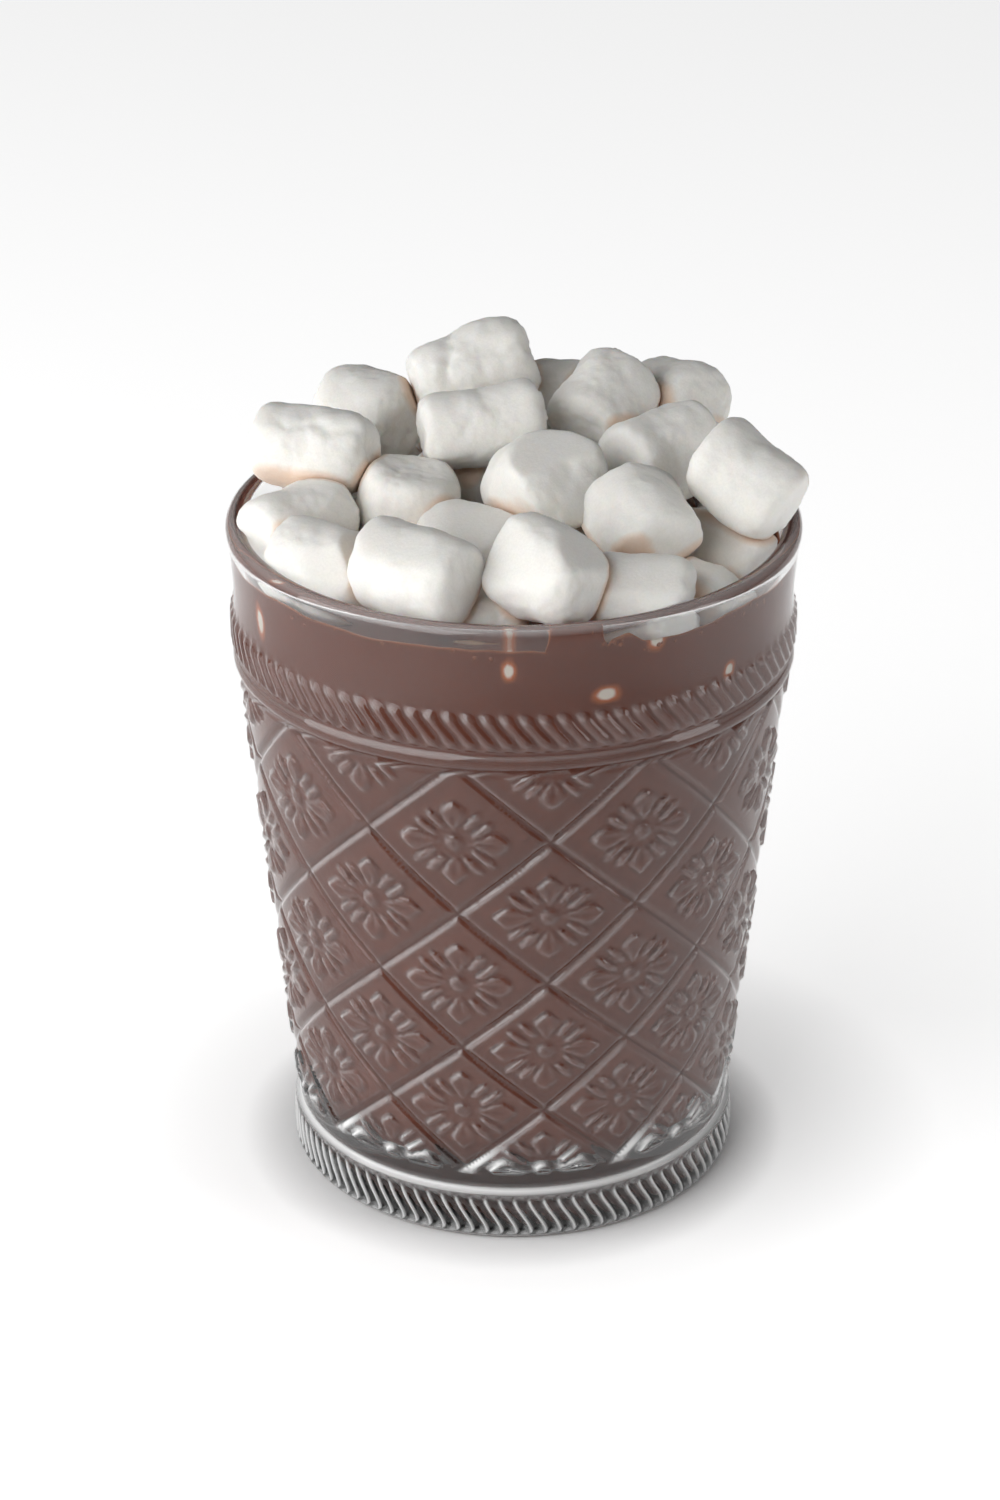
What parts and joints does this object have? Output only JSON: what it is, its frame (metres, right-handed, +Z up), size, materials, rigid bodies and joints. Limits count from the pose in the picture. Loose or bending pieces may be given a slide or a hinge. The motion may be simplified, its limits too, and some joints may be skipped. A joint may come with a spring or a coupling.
{
  "type": "hot chocolate",
  "caption": "Tapered pressed-glass tumbler filled with hot chocolate and heaped with small white marshmallows, for serving as a drink.",
  "frame": {"origin": "middle of the foot of the glass, on the table it stands on", "axes": "+Z up along the axis of the glass; -Y is the side seen from the front, +X to the right"},
  "size_m": [0.0874, 0.0874, 0.127],
  "materials": {
    "glass": "clear pressed glass",
    "chocolate": "milky brown drink with a wet sheen",
    "marshmallow": "soft, powdery and matt"
  },
  "bodies": {
    "root": {"glass": "glass", "chocolate": "chocolate", "marshmallow_01": "marshmallow", "marshmallow_02": "marshmallow", "marshmallow_03": "marshmallow", "marshmallow_04": "marshmallow", "marshmallow_05": "marshmallow", "marshmallow_06": "marshmallow", "marshmallow_07": "marshmallow", "marshmallow_08": "marshmallow", "marshmallow_09": "marshmallow", "marshmallow_10": "marshmallow", "marshmallow_11": "marshmallow", "marshmallow_12": "marshmallow", "marshmallow_13": "marshmallow", "marshmallow_14": "marshmallow", "marshmallow_15": "marshmallow", "marshmallow_16": "marshmallow", "marshmallow_17": "marshmallow", "marshmallow_18": "marshmallow", "marshmallow_19": "marshmallow", "marshmallow_20": "marshmallow", "marshmallow_21": "marshmallow", "marshmallow_22": "marshmallow", "marshmallow_23": "marshmallow", "marshmallow_24": "marshmallow", "marshmallow_25": "marshmallow", "marshmallow_26": "marshmallow", "marshmallow_27": "marshmallow", "marshmallow_28": "marshmallow", "marshmallow_29": "marshmallow", "marshmallow_30": "marshmallow", "marshmallow_31": "marshmallow", "marshmallow_32": "marshmallow", "marshmallow_33": "marshmallow", "marshmallow_34": "marshmallow", "marshmallow_35": "marshmallow"}
  },
  "joints": []
}
